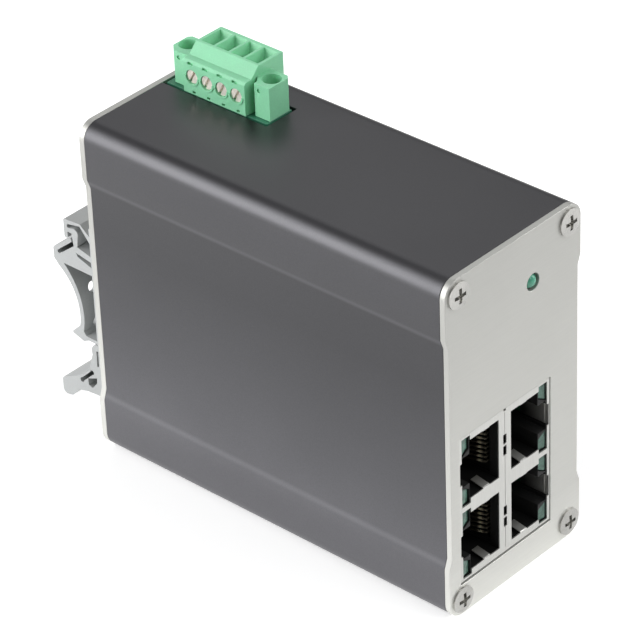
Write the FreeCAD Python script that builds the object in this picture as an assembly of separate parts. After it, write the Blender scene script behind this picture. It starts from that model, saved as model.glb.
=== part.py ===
import FreeCAD
import Part
import math
import os

# DIN rail ethernet switch, millimetres, +Z up, ports towards -Y, rail clip towards +Y.
# Drawn with y = 0 on the outer face of the front plate and z = 0 on the underside, then
# moved along y so that the origin is the bottom centre of the whole object.

# --- housing ---
BODY_WIDTH = 38.3
BODY_HEIGHT = 74.0
BODY_DEPTH = 90.3            # over both end plates
PLATE_THICKNESS = 1.3
CORNER_RADIUS = 3.5
SIDE_STEP = 0.78             # depth of the recessed side panels
SHOULDER_LOW = 11.6          # height of the proud band at the bottom of each side
SHOULDER_HIGH = 11.8         # the same at the top
STEP_RISE = 2.2              # height of the slope between band and panel
WALL = 1.7
BOSS_RADIUS = 3.3
BOSS_CORE = 1.5

# --- plate screws ---
SCREW_RADIUS = 1.45
SCREW_LENGTH = 8.0
SCREW_CLEARANCE = 0.1
HEAD_RADIUS = 2.75
HEAD_EDGE = 0.4              # height of the head's upright rim
HEAD_HEIGHT = 0.75           # over the dome
CROSS_WIDTH = 0.75
CROSS_REACH = 1.55
CROSS_DEPTH = 1.2

# --- jack, two columns of two ports that face each other's backs ---
JACK_SIDE = 3.35             # left side of the housing to the jack
BOARD_SIDE = 8.95            # right side of the housing to the board's near face
JACK_BOTTOM = 7.1            # underside to jack
JACK_FRONT = 0.15            # how far the jack face sits behind the plate face
JACK_DEPTH = 27.5
JACK_RIM = 0.2               # shield beyond the latch slot
JACK_CHEEK = 1.5             # shield beyond the port's side
SHIELD_SHEET = 0.25
CUTOUT_GAP_LEFT = 0.1
CUTOUT_GAP_RIGHT = 0.22
CUTOUT_GAP_TOP = 0.1
CUTOUT_GAP_BOTTOM = 0.5
PORT_WIDTH = 13.0
PORT_BAND = 3.2              # between an upper and a lower port
PORT_LATCH = 2.4             # latch step beyond the main part
PORT_NOTCH = 0.55            # last small step of the latch slot
LATCH_WIDTH = 6.4
NOTCH_WIDTH = 4.8
PORT_DEPTH = 13.6
PORT_SINK = 0.25             # moulding set back from the shield's edge
SILL_DEPTH = 2.05            # front strip of the wall between the columns
SILL_STEP = 0.4
WEB_HALF = 1.75              # half the wall between the two columns
CONTACT_COUNT = 8
CONTACT_PITCH = 1.02
CONTACT_WIRE = 0.36
CONTACT_ROOT = 0.55          # depth of the contact's root in the moulding
CONTACT_BEND = 2.2           # from the moulding's front to the contact's front bend
CONTACT_TIP = 10.6
CONTACT_RISE = 3.5
PIPE_GAP = 0.15
PIPE_REACH = 1.0             # how far a light pipe reaches past the port's side
PIPE_SETBACK = 0.6
PIPE_SLANT = 1.1
PIPE_CHAMFER = 1.0
FINGER_WIDTH = 1.8           # spring finger folded from the shield into each port
FINGER_LENGTH = 3.1
FINGER_RISE = 0.55
FINGER_PLACE = 3.6           # from the port's inner wall to the finger's middle
SEAM_SLOT = 4.6
SEAM_WIDTH = 0.95
SEAM_BAR = 0.5
MAGNETICS_FRONT = 17.0
SIGNAL_BOARD_GAP = 2.3
SIGNAL_BOARD_THICKNESS = 1.0
LED_HEIGHT = 0.7
RING_RADIUS = 2.4
RING_HOLE = 1.0
RING_PITCH_X = 6.0
RING_LESS = 0.7              # ring pitch along z, short of half the port pitch
RING_THICKNESS = 2.6
JACK_PIN = 0.5
JACK_PIN_COUNT = 10
JACK_PIN_MORE = 0.2          # pin pitch beyond a sixth of the port pitch
JACK_TAB = 1.4
JACK_TAB_PLACES = (6.5, 21.5)
TAIL = 1.1                   # how far pins stand out of the board

# --- main board ---
BOARD_THICKNESS = 1.6
BOARD_FRONT = 3.0
BOARD_BACK_GAP = 3.9         # board to the outer face of the back plate
BOARD_TOP_GAP = 0.3
GUIDE_HEIGHT = 2.0
GUIDE_THICKNESS = 1.1
GUIDE_ROOT = 0.4
PIN_CLEARANCE = 0.05

# --- status lamp ---
LAMP_DROP = 11.3             # below the top of the housing
LAMP_OFF_BOARD = 4.8
LAMP_HOLE = 1.75
LAMP_RADIUS = 1.55
LAMP_FLANGE = 1.85
LAMP_PROUD = 0.2             # tip of the lamp ahead of the plate face
LAMP_BODY = 4.2
LAMP_LEG = 0.5
LAMP_LEG_PITCH = 2.04
HOLDER_SIDE = 2.3

# --- terminal header and plug ---
TERM_FROM_BACK = 14.9        # middle of the terminal to the back plate's outer face
TERM_PITCH = 3.81
TERM_POLES = 4
PLUG_WIDTH = 11.0            # along x
PLUG_OVERHANG = 3.5          # past the board's face
PLUG_GAP = 0.05              # plug above the housing
PLUG_SHOULDER = 7.05         # plug bottom to its low roof
PLUG_HEAD = 9.15             # plug bottom to its top
PLUG_END_WALL = 0.38         # beyond the outermost poles
PLUG_ROOF_FOOT = 2.0         # screw face to the start of the roof slope
PLUG_ROOF_HEAD = 4.1
PLUG_EDGE = 0.5
EAR_LENGTH = 5.0             # flange beyond the poles
EAR_SETBACK = 1.4
EAR_WIDTH = 6.1
EAR_CORNER = 1.4
EAR_GROOVE = 1.25
EAR_GROOVE_DEPTH = 2.3
EAR_HOLE_SPREAD = 10.8
EAR_HOLE_RADIUS = 1.95
EAR_HOLE_DEPTH = 4.9
EAR_CENTRE = 3.3             # ear face to the middle of its hole
DIMPLE_RADIUS = 0.45
CLAMP_RISE = 3.7             # plug bottom to the clamp screws
CLAMP_SCREW_RADIUS = 1.0
CLAMP_HEAD_RADIUS = 1.42
CLAMP_HEAD_SINK = 0.2
CLAMP_HOLE = 1.5
CLAMP_REACH = 6.6
CLAMP_COLLAR = 0.35
CAGE_HALF = 1.5
CAGE_LENGTH = 6.1
CAGE_LOW = 1.5               # plug bottom to the cage
CAGE_HIGH = 2.2              # clamp screw to the cage's top
CAGE_WALL = 0.45
FUNNEL_WALL = 0.8
FUNNEL_LENGTH = 5.5
FUNNEL_HALF = 1.62
FUNNEL_FLOOR = 0.9           # cage top to the funnel's foot
THROAT_HALF = 1.05
THROAT_LENGTH = 3.1
HEADER_WIDTH = 7.0
HEADER_HEIGHT = 8.95
HEADER_DROP = 0.05           # header rim below the housing's top
HEADER_SHELL = 0.8
HEADER_FLOOR = 1.2
HEADER_FIT = 0.1
HEADER_PIN = 1.0
NUT_RADIUS = 2.0
NUT_HEIGHT = 5.4
FLANGE_SCREW_RADIUS = 1.3
SLOT_GAP = 0.2
SLOT_END = 0.5

# --- rail clip ---
CLIP_MARGIN = 1.6            # clip end to the recessed side
CLIP_BASE = 2.0
CLIP_SCREW_MARGIN = 7.77     # clip screws to the clip's end
CLIP_SCREW_DROP = 16.4       # rail top to the clip screws
CLIP_SCREW_RADIUS = 1.2
CLIP_HEAD_RADIUS = 2.1
CLIP_HEAD_HEIGHT = 1.2
CLIP_ACCESS = 2.4            # radius of the screwdriver holes in the spring leaf
CLIP_NUT = 2.3
CLIP_NUT_HEIGHT = 1.8
WINDOW_MARGIN = 3.7          # windows in the leaf, from the clip's end
WINDOW_DROPS = (13.8, 21.2)
WINDOW_RADIUS = 1.15
RAIL_HEIGHT = 35.0
RAIL_TOP = 46.0              # underside of the housing to the rail's upper edge
RAIL_GRIP = 1.4              # travel of the sprung foot when a rail is in
RAIL_SEAT = 6.9              # from the back plate to the front of the rail's rim
RAIL_SHEET = 1.1             # groove for the rail's rim
CLIP_REACH = 12.9            # from the back plate to the clip's outermost edge
CLIP_SKIN = 0.9              # thickness of the spring walls

# --- parts on the board ---
CHIP_SIDE = 14.0
CHIP_HEIGHT = 1.4
CHIP_STANDOFF = 0.1
CHIP_BEHIND_JACK = 18.4
CHIP_Z = 30.0
CHIP_LEG_COUNT = 16
CHIP_LEG_PITCH = 0.8
CHIP_LEG_WIDTH = 0.26
CHIP_LEG_LENGTH = 1.1
SINK_SIDE = 13.0
SINK_BASE = 1.2
SINK_FIN = 1.0
SINK_FINS = 6
SINK_HEIGHT = 6.0
CRYSTAL_LENGTH = 10.0
CRYSTAL_WIDTH = 4.0
CRYSTAL_HEIGHT = 3.5
CAN_RADIUS = 4.0
CAN_HEIGHT = 10.5
SMALL_CAN_RADIUS = 3.15
SMALL_CAN_HEIGHT = 7.0
INDUCTOR_SIDE = 10.0
INDUCTOR_HEIGHT = 4.5
INDUCTOR_BACK = 14.4         # from the board's back edge
INDUCTOR_DROP = 26.5         # below the terminal header
REGULATOR_LENGTH = 4.0
REGULATOR_WIDTH = 5.0
REGULATOR_BACK = 26.4
REGULATOR_DROP = 19.0
REGULATOR_LEG_PITCH = 1.27
DIODE_LENGTH = 5.0
DIODE_WIDTH = 3.6
DIODE_HEIGHT = 2.3
DIODE_PITCH = 8.0
DIODE_BACK = 4.4
DIODE_DROP = 8.0
FUSE_LENGTH = 7.0
FUSE_WIDTH = 3.0
FUSE_HEIGHT = 2.4
FUSE_BACK = 3.4
FUSE_DROP = 16.0
MEMORY_LENGTH = 5.0
MEMORY_WIDTH = 4.0
MEMORY_BEHIND_JACK = 4.5
MEMORY_RISE = 25.0           # above the switch chip's middle
SMALL_PART = 1.6             # length of the small chip capacitors and resistors
CAPACITOR_PITCH_Y = 4.6
CAPACITOR_PITCH_Z = 9.0
RESISTOR_PITCH = 5.4
RESISTOR_HEIGHT = 0.5

# --- derived ---
STEP_LOW = SHOULDER_LOW
STEP_HIGH = BODY_HEIGHT - SHOULDER_HIGH
INSIDE_TOP = BODY_HEIGHT - WALL
BACK_PLATE_FRONT = BODY_DEPTH - PLATE_THICKNESS
CORNER_X = BODY_WIDTH / 2 - CORNER_RADIUS
CORNER_Z = (CORNER_RADIUS, BODY_HEIGHT - CORNER_RADIUS)
PORT_PITCH = PORT_WIDTH + PORT_BAND
BOARD_FACE = BODY_WIDTH / 2 - BOARD_SIDE
BOARD_FAR = BOARD_FACE + BOARD_THICKNESS
JACK_LEFT = JACK_SIDE - BODY_WIDTH / 2
JACK_RIGHT = BOARD_FACE
JACK_MIDDLE = (JACK_LEFT + JACK_RIGHT) / 2
PORT_REACH = JACK_RIGHT - JACK_RIM - JACK_MIDDLE - WEB_HALF
PORT_BODY = PORT_REACH - PORT_LATCH - PORT_NOTCH
RING_PITCH_Z = PORT_PITCH / 2 - RING_LESS
JACK_PIN_PITCH = PORT_PITCH / 6 + JACK_PIN_MORE
JACK_LOW = JACK_BOTTOM
JACK_HIGH = JACK_BOTTOM + PORT_PITCH + PORT_WIDTH + 2 * JACK_CHEEK
JACK_CENTRE_Z = (JACK_LOW + JACK_HIGH) / 2
JACK_BACK = JACK_FRONT + JACK_DEPTH
MOULD_FRONT = JACK_FRONT + SHIELD_SHEET
PORT_CENTRES = (JACK_CENTRE_Z - PORT_PITCH / 2, JACK_CENTRE_Z + PORT_PITCH / 2)
SIGNAL_BOARD_FRONT = MAGNETICS_FRONT + SIGNAL_BOARD_GAP
BOARD_BACK = BODY_DEPTH - BOARD_BACK_GAP
BOARD_TOP = INSIDE_TOP - BOARD_TOP_GAP
LAMP_X = BOARD_FACE - LAMP_OFF_BOARD
LAMP_Z = BODY_HEIGHT - LAMP_DROP
LAMP_CENTRE = LAMP_RADIUS - LAMP_PROUD
TERM_Y = BODY_DEPTH - TERM_FROM_BACK
POLES_HALF = TERM_POLES * TERM_PITCH / 2 + PLUG_END_WALL
TERM_HALF = POLES_HALF + EAR_LENGTH
PLUG_BACK = BOARD_FACE + PLUG_OVERHANG
PLUG_FACE = PLUG_BACK - PLUG_WIDTH
PLUG_LOW = BODY_HEIGHT + PLUG_GAP
PLUG_ROOF = PLUG_LOW + PLUG_SHOULDER
PLUG_TOP = PLUG_LOW + PLUG_HEAD
EAR_FACE = PLUG_FACE + EAR_SETBACK
EAR_X = EAR_FACE + EAR_CENTRE
EAR_HOLE_FLOOR = PLUG_ROOF - EAR_HOLE_DEPTH
CLAMP_Z = PLUG_LOW + CLAMP_RISE
CAGE_TOP = CLAMP_Z + CAGE_HIGH
HEADER_LEFT = BOARD_FACE - HEADER_WIDTH
HEADER_TOP = BODY_HEIGHT - HEADER_DROP
HEADER_BOTTOM = HEADER_TOP - HEADER_HEIGHT
SLOT_FRONT = TERM_Y - TERM_HALF - SLOT_END
RAIL_LOW = RAIL_TOP - RAIL_HEIGHT + RAIL_GRIP
CLIP_HALF = BODY_WIDTH / 2 - SIDE_STEP - CLIP_MARGIN
CLIP_SCREW_X = CLIP_HALF - CLIP_SCREW_MARGIN
CLIP_SCREW_Z = RAIL_TOP - CLIP_SCREW_DROP
CHIP_Y = JACK_BACK + CHIP_BEHIND_JACK
SHIFT_Y = -(BODY_DEPTH + CLIP_REACH - HEAD_HEIGHT) / 2

X_AXIS = (1, 0, 0)
Y_AXIS = (0, 1, 0)
Z_AXIS = (0, 0, 1)


def block(x0, x1, y0, y1, z0, z1):
    return Part.makeBox(x1 - x0, y1 - y0, z1 - z0, FreeCAD.Vector(x0, y0, z0))


def rod(x, y, z, radius, length, axis):
    return Part.makeCylinder(radius, length, FreeCAD.Vector(x, y, z), FreeCAD.Vector(*axis))


def outline(path, place):
    """Face from a path of (a, b) line ends and (via_a, via_b, a, b) arcs, set by place(a, b)."""
    first = place(*path[0])
    last = first
    edges = []
    for step in path[1:]:
        end = place(*step[-2:])
        if len(step) == 4:
            edges.append(Part.Arc(last, place(*step[:2]), end).toShape())
        else:
            edges.append(Part.LineSegment(last, end).toShape())
        last = end
    if last.distanceToPoint(first) > 1e-6:
        edges.append(Part.LineSegment(last, first).toShape())
    return Part.Face(Part.Wire(edges))


def prism_x(path, x0, x1):
    return outline(path, lambda y, z: FreeCAD.Vector(x0, y, z)).extrude(FreeCAD.Vector(x1 - x0, 0, 0))


def prism_y(path, y0, y1):
    return outline(path, lambda x, z: FreeCAD.Vector(x, y0, z)).extrude(FreeCAD.Vector(0, y1 - y0, 0))


def prism_z(path, z0, z1):
    return outline(path, lambda x, y: FreeCAD.Vector(x, y, z0)).extrude(FreeCAD.Vector(0, 0, z1 - z0))


def joined(shapes):
    return shapes[0].fuse(shapes[1:]).removeSplitter()


def group(shapes):
    return Part.makeCompound(shapes)


def spread(count, pitch):
    """Places of a centred row."""
    return [(n - (count - 1) / 2) * pitch for n in range(count)]


def save(name, shape):
    shape.translate(FreeCAD.Vector(0, SHIFT_Y, 0))
    shape.exportStep("parts/" + name + ".step")
    print(name, round(shape.Volume, 1), shape.isValid(), len(shape.Solids))


# --- housing tube and end plates ---

def body_slab(inset, y0, y1):
    """Outline of tube and plates: rounded corners, side panels set in by one step."""
    half = BODY_WIDTH / 2 - inset
    low = inset
    high = BODY_HEIGHT - inset
    radius = CORNER_RADIUS - inset
    bulge = radius * (1 - math.sqrt(0.5))
    panel = half - SIDE_STEP
    path = [
        (radius - half, low), (half - radius, low), (half - bulge, low + bulge, half, low + radius),
        (half, STEP_LOW), (panel, STEP_LOW + STEP_RISE), (panel, STEP_HIGH - STEP_RISE), (half, STEP_HIGH),
        (half, high - radius), (half - bulge, high - bulge, half - radius, high),
        (radius - half, high), (bulge - half, high - bulge, -half, high - radius),
        (-half, STEP_HIGH), (-panel, STEP_HIGH - STEP_RISE), (-panel, STEP_LOW + STEP_RISE),
        (-half, STEP_LOW), (-half, low + radius), (bulge - half, low + bulge, radius - half, low)]
    return prism_y(path, y0, y1)


def board_guides(y0, y1):
    ribs = []
    for z0, z1 in ((WALL - GUIDE_ROOT, WALL + GUIDE_HEIGHT),
                   (INSIDE_TOP - GUIDE_HEIGHT, INSIDE_TOP + GUIDE_ROOT)):
        ribs.append(block(BOARD_FACE - GUIDE_THICKNESS, BOARD_FACE, y0, y1, z0, z1))
        ribs.append(block(BOARD_FAR, BOARD_FAR + GUIDE_THICKNESS, y0, y1, z0, z1))
    return ribs


def corner_rods(radius, y0, y1):
    return [rod(x, y0, z, radius, y1 - y0, Y_AXIS) for z in CORNER_Z for x in (-CORNER_X, CORNER_X)]


def housing_extrusion():
    y0 = PLATE_THICKNESS
    y1 = BACK_PLATE_FRONT
    tube = body_slab(0, y0, y1).cut(body_slab(WALL, y0 - 1, y1 + 1))
    tube = tube.fuse(corner_rods(BOSS_RADIUS, y0, y1) + board_guides(y0, y1))
    tube = tube.common(body_slab(0, y0, y1)).cut(corner_rods(BOSS_CORE, y0 - 1, y1 + 1))
    slot = block(PLUG_FACE - SLOT_GAP, BOARD_FACE + SLOT_GAP + SLOT_END, SLOT_FRONT, y1 + 1,
                 INSIDE_TOP - GUIDE_HEIGHT - PIN_CLEARANCE, BODY_HEIGHT + 1)
    jack_room = block(JACK_LEFT - CUTOUT_GAP_LEFT, BOARD_FACE, 0, JACK_BACK + CUTOUT_GAP_RIGHT,
                      JACK_LOW - CUTOUT_GAP_LEFT, JACK_HIGH + CUTOUT_GAP_LEFT)
    return tube.cut([slot, jack_room]).removeSplitter()


def front_plate():
    plate = body_slab(0, 0, PLATE_THICKNESS)
    cutout = block(JACK_LEFT - CUTOUT_GAP_LEFT, JACK_RIGHT + CUTOUT_GAP_RIGHT, -1, PLATE_THICKNESS + 1,
                   JACK_LOW - CUTOUT_GAP_BOTTOM, JACK_HIGH + CUTOUT_GAP_TOP)
    lamp = rod(LAMP_X, -1, LAMP_Z, LAMP_HOLE, PLATE_THICKNESS + 2, Y_AXIS)
    holes = corner_rods(SCREW_RADIUS + SCREW_CLEARANCE, -1, PLATE_THICKNESS + 1)
    return plate.cut([cutout, lamp] + holes)


def clip_screw_places():
    return [(-CLIP_SCREW_X, CLIP_SCREW_Z), (CLIP_SCREW_X, CLIP_SCREW_Z)]


def back_plate():
    y0 = BACK_PLATE_FRONT
    holes = corner_rods(SCREW_RADIUS + SCREW_CLEARANCE, y0 - 1, BODY_DEPTH + 1)
    holes += [rod(x, y0 - 1, z, CLIP_SCREW_RADIUS, PLATE_THICKNESS + 2, Y_AXIS)
              for x, z in clip_screw_places()]
    return body_slab(0, y0, BODY_DEPTH).cut(holes)


def pan_screw(x, z, y, out):
    """Cross-head screw with a low head on the plate face at y; out is -1 to the front, +1 to the back."""
    dome = HEAD_HEIGHT - HEAD_EDGE
    profile = [(0, -SCREW_LENGTH), (SCREW_RADIUS, -SCREW_LENGTH), (SCREW_RADIUS, 0), (HEAD_RADIUS, 0),
               (HEAD_RADIUS, HEAD_EDGE), (HEAD_RADIUS / 2, HEAD_EDGE + 0.75 * dome, 0, HEAD_HEIGHT)]
    half = outline(profile, lambda radius, height: FreeCAD.Vector(x + radius, y + out * height, z))
    screw = half.revolve(FreeCAD.Vector(x, y, z), FreeCAD.Vector(*Y_AXIS), 360)
    arm = CROSS_WIDTH / 2
    above = HEAD_HEIGHT + 1
    rim = HEAD_HEIGHT - CROSS_DEPTH / 3
    floor = HEAD_HEIGHT - CROSS_DEPTH
    wing = [(-CROSS_REACH, above), (-CROSS_REACH, rim), (-CROSS_WIDTH, floor), (CROSS_WIDTH, floor),
            (CROSS_REACH, rim), (CROSS_REACH, above)]
    cross = [prism_z([(x + a, y + out * b) for a, b in wing], z - arm, z + arm),
             prism_x([(y + out * b, z + a) for a, b in wing], x - arm, x + arm)]
    return screw.cut(cross)


def plate_screws(y, out):
    return group([pan_screw(x, z, y, out) for z in CORNER_Z for x in (-CORNER_X, CORNER_X)])


# --- jack ---

def every_port():
    return [(side, centre) for side in (-1, 1) for centre in PORT_CENTRES]


def every_pipe():
    return [(side, centre, end) for side, centre in every_port() for end in (-1, 1)]


def port_outline(side, centre, grow):
    """Opening of one port in x and z; side is -1 for the left column, +1 for the right."""
    steps = [(0, PORT_WIDTH / 2 + grow), (PORT_BODY, PORT_WIDTH / 2 + grow), (PORT_BODY, LATCH_WIDTH / 2),
             (PORT_BODY + PORT_LATCH, LATCH_WIDTH / 2), (PORT_BODY + PORT_LATCH, NOTCH_WIDTH / 2),
             (PORT_REACH, NOTCH_WIDTH / 2)]
    inner = JACK_MIDDLE + side * WEB_HALF
    lower = [(inner + side * a, centre - b) for a, b in steps]
    upper = [(inner + side * a, centre + b) for a, b in reversed(steps)]
    return lower + upper


def pipe_outline(side, centre, end, grow):
    """Section of one light pipe beside the latch slot; end is -1 below, +1 above."""
    near = PORT_BODY + PIPE_GAP - grow
    far = PORT_BODY + PORT_LATCH + grow
    low = LATCH_WIDTH / 2 + 2 * PIPE_GAP - grow
    high = PORT_WIDTH / 2 + PIPE_REACH + grow
    section = [(near, low + PIPE_CHAMFER), (far - 2 * PIPE_GAP, low), (far, low), (far, high), (near, high)]
    inner = JACK_MIDDLE + side * WEB_HALF
    return [(inner + side * a, centre + end * b) for a, b in section]


def seam_slots(y0, y1):
    """Two windows with a bar between them, level with each row of ports."""
    slots = []
    half = SEAM_WIDTH / 2
    for centre in PORT_CENTRES:
        slots.append(block(JACK_MIDDLE - half, JACK_MIDDLE + half, y0, y1,
                           centre - SEAM_SLOT / 2, centre - SEAM_BAR / 2))
        slots.append(block(JACK_MIDDLE - half, JACK_MIDDLE + half, y0, y1,
                           centre + SEAM_BAR / 2, centre + SEAM_SLOT / 2))
    return slots


def shield_fingers():
    """Folded back from the edges of each port, then bent up towards its middle."""
    fingers = []
    y0 = JACK_FRONT
    s = SHIELD_SHEET
    edge = PORT_WIDTH / 2
    fold = edge - s / 2
    tip = fold - FINGER_RISE
    path = [(y0, edge + s), (y0, fold), (y0 + s, fold - s / 2), (y0 + FINGER_LENGTH, tip - s / 2),
            (y0 + FINGER_LENGTH, tip + s / 2), (y0 + s, edge - s / 4), (y0 + s, edge + s)]
    for side, centre in every_port():
        middle = JACK_MIDDLE + side * (WEB_HALF + FINGER_PLACE)
        for end in (-1, 1):
            points = [(y, centre + end * z) for y, z in path]
            fingers.append(prism_x(points, middle - FINGER_WIDTH / 2, middle + FINGER_WIDTH / 2))
    return fingers


def jack_shield():
    y0 = JACK_FRONT
    y1 = JACK_BACK
    s = SHIELD_SHEET
    shell = block(JACK_LEFT, JACK_RIGHT, y0, y1, JACK_LOW, JACK_HIGH)
    shell = shell.cut(block(JACK_LEFT + s, JACK_RIGHT - s, y0 + s, y1 - s, JACK_LOW + s, JACK_HIGH - s))
    cuts = [prism_y(port_outline(side, centre, 0), y0 - 1, y0 + 1) for side, centre in every_port()]
    for side, centre in every_port():
        near = JACK_MIDDLE + side * (WEB_HALF + PORT_BODY)
        x0, x1 = sorted((near, near + side * (PORT_LATCH + PIN_CLEARANCE)))
        half = PORT_WIDTH / 2 + PIPE_REACH + PIN_CLEARANCE
        cuts.append(block(x0, x1, y0 - 1, y0 + 1, centre - half, centre + half))
    line = CUTOUT_GAP_LEFT / 2
    cuts.append(block(JACK_MIDDLE - line, JACK_MIDDLE + line, y0 - 1, y0 + 1,
                      JACK_LOW + JACK_CHEEK / 2, JACK_HIGH - JACK_CHEEK / 2))
    cuts.append(block(JACK_MIDDLE - SEAM_WIDTH / 3, JACK_MIDDLE + SEAM_WIDTH / 3, y0 - 1, y0 + 1,
                      JACK_HIGH - 2 * s, JACK_HIGH + 1))
    cuts.append(block(JACK_RIGHT - 2 * s, JACK_RIGHT + 1, y0 + PORT_DEPTH / 2, y1 - JACK_CHEEK,
                      JACK_LOW + JACK_CHEEK, JACK_HIGH - JACK_CHEEK))
    shell = shell.cut(cuts + seam_slots(y0 - 1, y0 + 1))
    tabs = [block(JACK_RIGHT - s, BOARD_FAR + TAIL, y, y + JACK_TAB, z, z + s)
            for y in JACK_TAB_PLACES for z in (JACK_LOW, JACK_HIGH - s)]
    return shell.fuse(tabs + shield_fingers()).removeSplitter()


def contact_places():
    return [(side, centre + z) for side, centre in every_port() for z in spread(CONTACT_COUNT, CONTACT_PITCH)]


def jack_insulator():
    s = SHIELD_SHEET
    y0 = MOULD_FRONT
    body = block(JACK_LEFT + s, JACK_RIGHT - s, y0, MAGNETICS_FRONT, JACK_LOW + s, JACK_HIGH - s)
    cuts = [prism_y(port_outline(side, centre, PORT_SINK), y0 - 1, y0 + PORT_DEPTH)
            for side, centre in every_port()]
    cuts += [prism_y(pipe_outline(side, centre, end, 0), y0 - 1, MAGNETICS_FRONT + 1)
             for side, centre, end in every_pipe()]
    sill = PORT_WIDTH / 2 - SILL_STEP
    for side, centre in every_port():
        x0, x1 = sorted((JACK_MIDDLE + side * (WEB_HALF - SILL_STEP),
                         JACK_MIDDLE + side * (WEB_HALF + SILL_STEP)))
        cuts.append(block(x0, x1, y0 + SILL_DEPTH, y0 + PORT_DEPTH, centre - sill, centre + sill))
    for side, z in contact_places():
        x0, x1 = sorted((JACK_MIDDLE + side * (WEB_HALF - CONTACT_ROOT),
                         JACK_MIDDLE + side * (WEB_HALF + SILL_STEP)))
        cuts.append(block(x0, x1, y0 + CONTACT_BEND - PIN_CLEARANCE, MAGNETICS_FRONT + 1,
                          z - CONTACT_WIRE / 2, z + CONTACT_WIRE / 2))
    return body.cut(cuts + seam_slots(y0 - 1, y0 + SILL_DEPTH))


def contact_wire(side, z):
    """One spring contact: straight root in its groove, then bent back into the port."""
    w = CONTACT_WIRE
    bend = MOULD_FRONT + CONTACT_BEND
    tip = MOULD_FRONT + CONTACT_TIP
    rear = SIGNAL_BOARD_FRONT
    root = -CONTACT_ROOT
    path = [(root, rear), (root, bend + w), (root + w, bend), (2 * w, bend), (3 * w, bend + 2 * w),
            (CONTACT_RISE, tip), (CONTACT_RISE - w, tip), (2 * w, bend + 2.5 * w), (1.6 * w, bend + w),
            (root + 1.3 * w, bend + w), (root + w, bend + 2 * w), (root + w, rear)]
    points = [(JACK_MIDDLE + side * (WEB_HALF + a), b) for a, b in path]
    return prism_z(points, z - w / 2, z + w / 2)


def jack_contacts():
    return group([contact_wire(side, z) for side, z in contact_places()])


def jack_light_pipes():
    """Clear bars from the lamps to the front, cut off at a slant towards the port."""
    pipes = []
    y0 = MOULD_FRONT + PIPE_SETBACK
    y1 = MAGNETICS_FRONT + SIGNAL_BOARD_GAP - LED_HEIGHT
    for side, centre, end in every_pipe():
        pipe = prism_y(pipe_outline(side, centre, end, 0), y0, y1)
        near = JACK_MIDDLE + side * (WEB_HALF + PORT_BODY - PIPE_GAP)
        far = JACK_MIDDLE + side * (WEB_HALF + PORT_BODY + PORT_LATCH + PIPE_GAP)
        wedge = prism_z([(near, y0 - 1), (far, y0 - 1), (far, y0), (near, y0 + PIPE_SLANT)],
                        JACK_LOW - 1, JACK_HIGH + 1)
        pipes.append(pipe.cut(wedge))
    return group(pipes)


def jack_leds():
    chips = []
    for side, centre, end in every_pipe():
        x = JACK_MIDDLE + side * (WEB_HALF + PORT_BODY + PORT_LATCH / 2)
        z = centre + end * (LATCH_WIDTH + PORT_WIDTH) / 4
        chips.append(block(x - LED_HEIGHT, x + LED_HEIGHT, SIGNAL_BOARD_FRONT - LED_HEIGHT,
                           SIGNAL_BOARD_FRONT,
                           z - LED_HEIGHT / 2, z + LED_HEIGHT / 2))
    return group(chips)


def jack_signal_board():
    s = SHIELD_SHEET
    y0 = SIGNAL_BOARD_FRONT
    return block(JACK_LEFT + s, JACK_RIGHT - JACK_CHEEK, y0, y0 + SIGNAL_BOARD_THICKNESS,
                 JACK_LOW + s, JACK_HIGH - s)


def jack_magnetics():
    y0 = SIGNAL_BOARD_FRONT + SIGNAL_BOARD_THICKNESS
    cores = []
    for dx in spread(3, RING_PITCH_X):
        for dz in spread(4, RING_PITCH_Z):
            x = JACK_MIDDLE - JACK_CHEEK + dx
            z = JACK_CENTRE_Z + dz
            ring = rod(x, y0, z, RING_RADIUS, RING_THICKNESS, Y_AXIS)
            cores.append(ring.cut(rod(x, y0 - 1, z, RING_HOLE, RING_THICKNESS + 2, Y_AXIS)))
    return group(cores)


def jack_pin_room(grow):
    half = JACK_PIN / 2 + grow
    y = SIGNAL_BOARD_FRONT + SIGNAL_BOARD_THICKNESS / 2
    return [block(JACK_RIGHT - JACK_CHEEK - grow, BOARD_FAR + TAIL + grow, y - half, y + half,
                  JACK_CENTRE_Z + dz - half, JACK_CENTRE_Z + dz + half)
            for dz in spread(JACK_PIN_COUNT, JACK_PIN_PITCH)]


# --- lamp ---

def status_lamp():
    body = rod(LAMP_X, LAMP_CENTRE, LAMP_Z, LAMP_RADIUS, LAMP_BODY, Y_AXIS)
    dome = Part.makeSphere(LAMP_RADIUS, FreeCAD.Vector(LAMP_X, LAMP_CENTRE, LAMP_Z))
    rim = LAMP_FLANGE - LAMP_RADIUS
    flange = rod(LAMP_X, LAMP_CENTRE + LAMP_BODY - 2 * rim, LAMP_Z, LAMP_FLANGE, 2 * rim, Y_AXIS)
    return body.fuse([dome, flange]).removeSplitter()


def lamp_leg_room(z, grow):
    half = LAMP_LEG / 2 + grow
    y = LAMP_CENTRE + LAMP_BODY
    return [block(LAMP_X - half, LAMP_X + half, y, y + LAMP_LEG_PITCH - grow, z - half, z + half),
            block(LAMP_X - half, BOARD_FAR + TAIL, y + LAMP_LEG_PITCH - 2 * half, y + LAMP_LEG_PITCH,
                  z - half, z + half)]


def lamp_leg_heights():
    return [LAMP_Z - LAMP_LEG_PITCH / 2, LAMP_Z + LAMP_LEG_PITCH / 2]


def lamp_legs():
    return group([joined(lamp_leg_room(z, 0)) for z in lamp_leg_heights()])


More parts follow.
